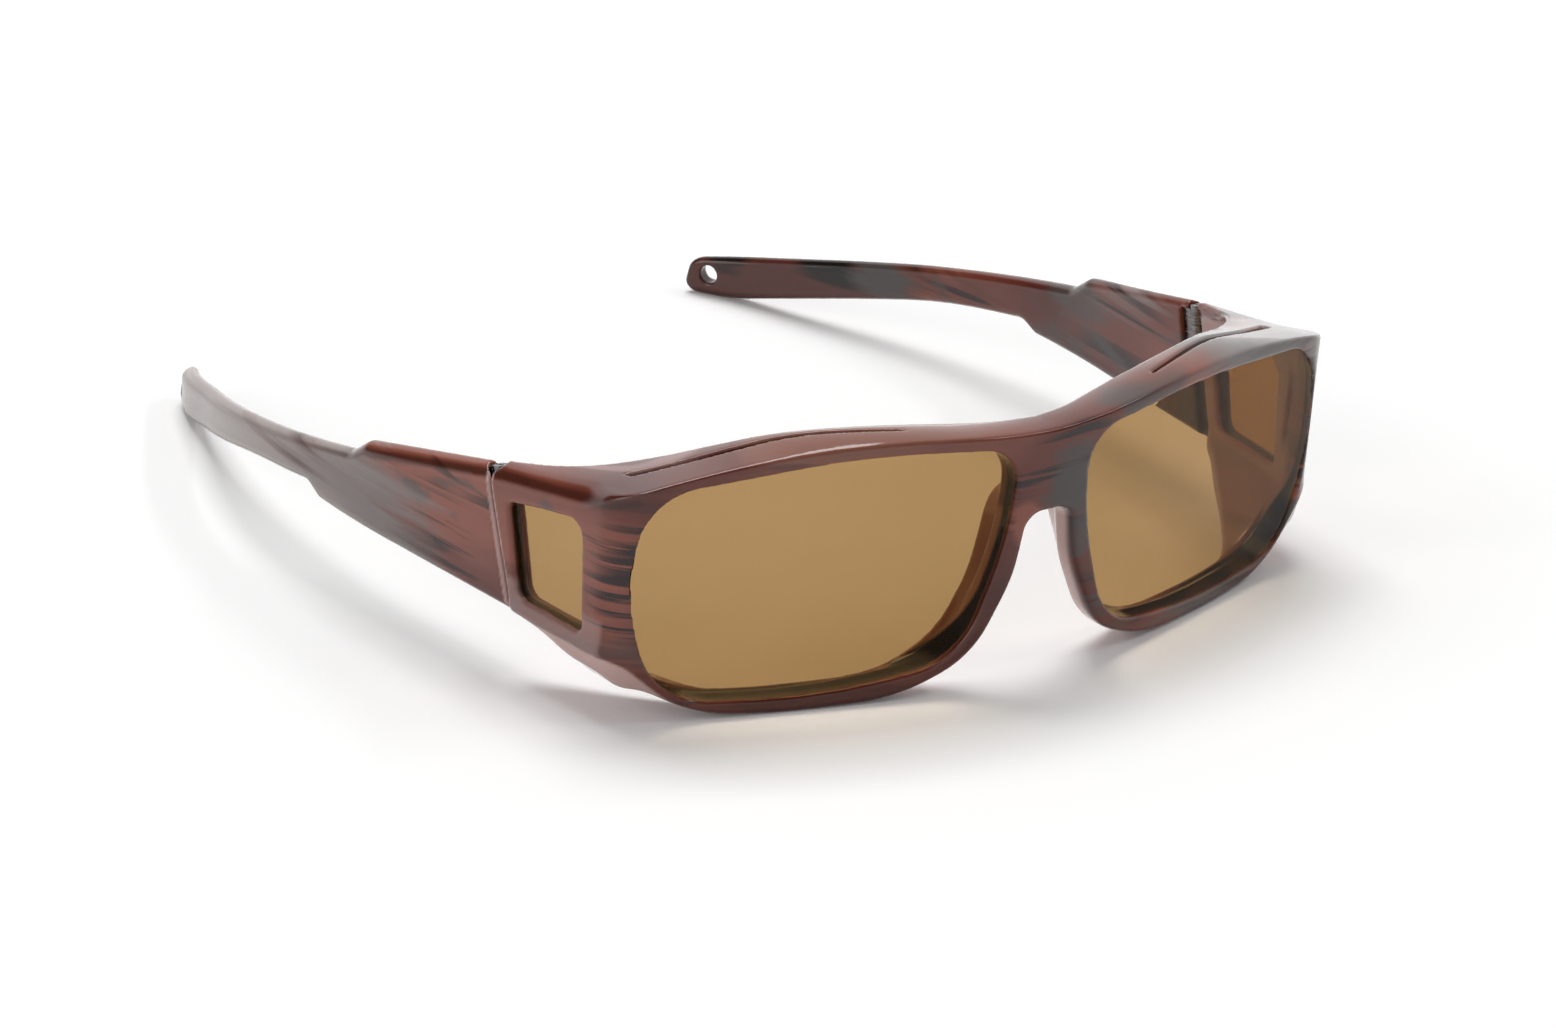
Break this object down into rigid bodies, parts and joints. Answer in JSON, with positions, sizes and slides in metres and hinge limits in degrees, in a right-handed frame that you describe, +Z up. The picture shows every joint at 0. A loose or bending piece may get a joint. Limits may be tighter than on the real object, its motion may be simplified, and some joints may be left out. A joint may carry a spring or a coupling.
{
  "type": "fit-over sunglasses",
  "caption": "Rectangular fit-over sunglasses with brown lenses, windowed side walls, a brow shelf with vent slits, and folding temples.",
  "frame": {"origin": "on the floor, in the middle of the width and of the whole length with the temples open", "axes": "the wearer looks along -Y, the wearer's left is +X, +Z is up"},
  "size_m": [0.1526, 0.1766, 0.0459],
  "materials": {
    "streaked_plastic": "polished, translucent red-brown with dark red and grey streaks",
    "brown_lens": "polished, transparent brown",
    "hinge_metal": "nickel-plated, slightly matt"
  },
  "bodies": {
    "front": {"front_frame": "streaked_plastic", "lens_right": "brown_lens", "lens_left": "brown_lens", "side_lens_right": "brown_lens", "side_lens_left": "brown_lens", "front_hinge_right": "hinge_metal", "front_hinge_left": "hinge_metal", "hinge_screw_right": "hinge_metal", "hinge_screw_left": "hinge_metal"},
    "temple_right": {"temple_right": "streaked_plastic", "temple_hinge_right": "hinge_metal"},
    "temple_left": {"temple_left": "streaked_plastic", "temple_hinge_left": "hinge_metal"}
  },
  "joints": [
    {"name": "fold_right", "type": "hinge", "parent": "front", "child": "temple_right", "pos_m": [-0.07092, -0.03587, 0.0294], "axis": [0.0156, -0.2073, -0.9781], "range_deg": [0, 90]},
    {"name": "fold_left", "type": "hinge", "parent": "front", "child": "temple_left", "pos_m": [0.07092, -0.03587, 0.0294], "axis": [0.0156, 0.2073, 0.9781], "range_deg": [0, 78]}
  ]
}
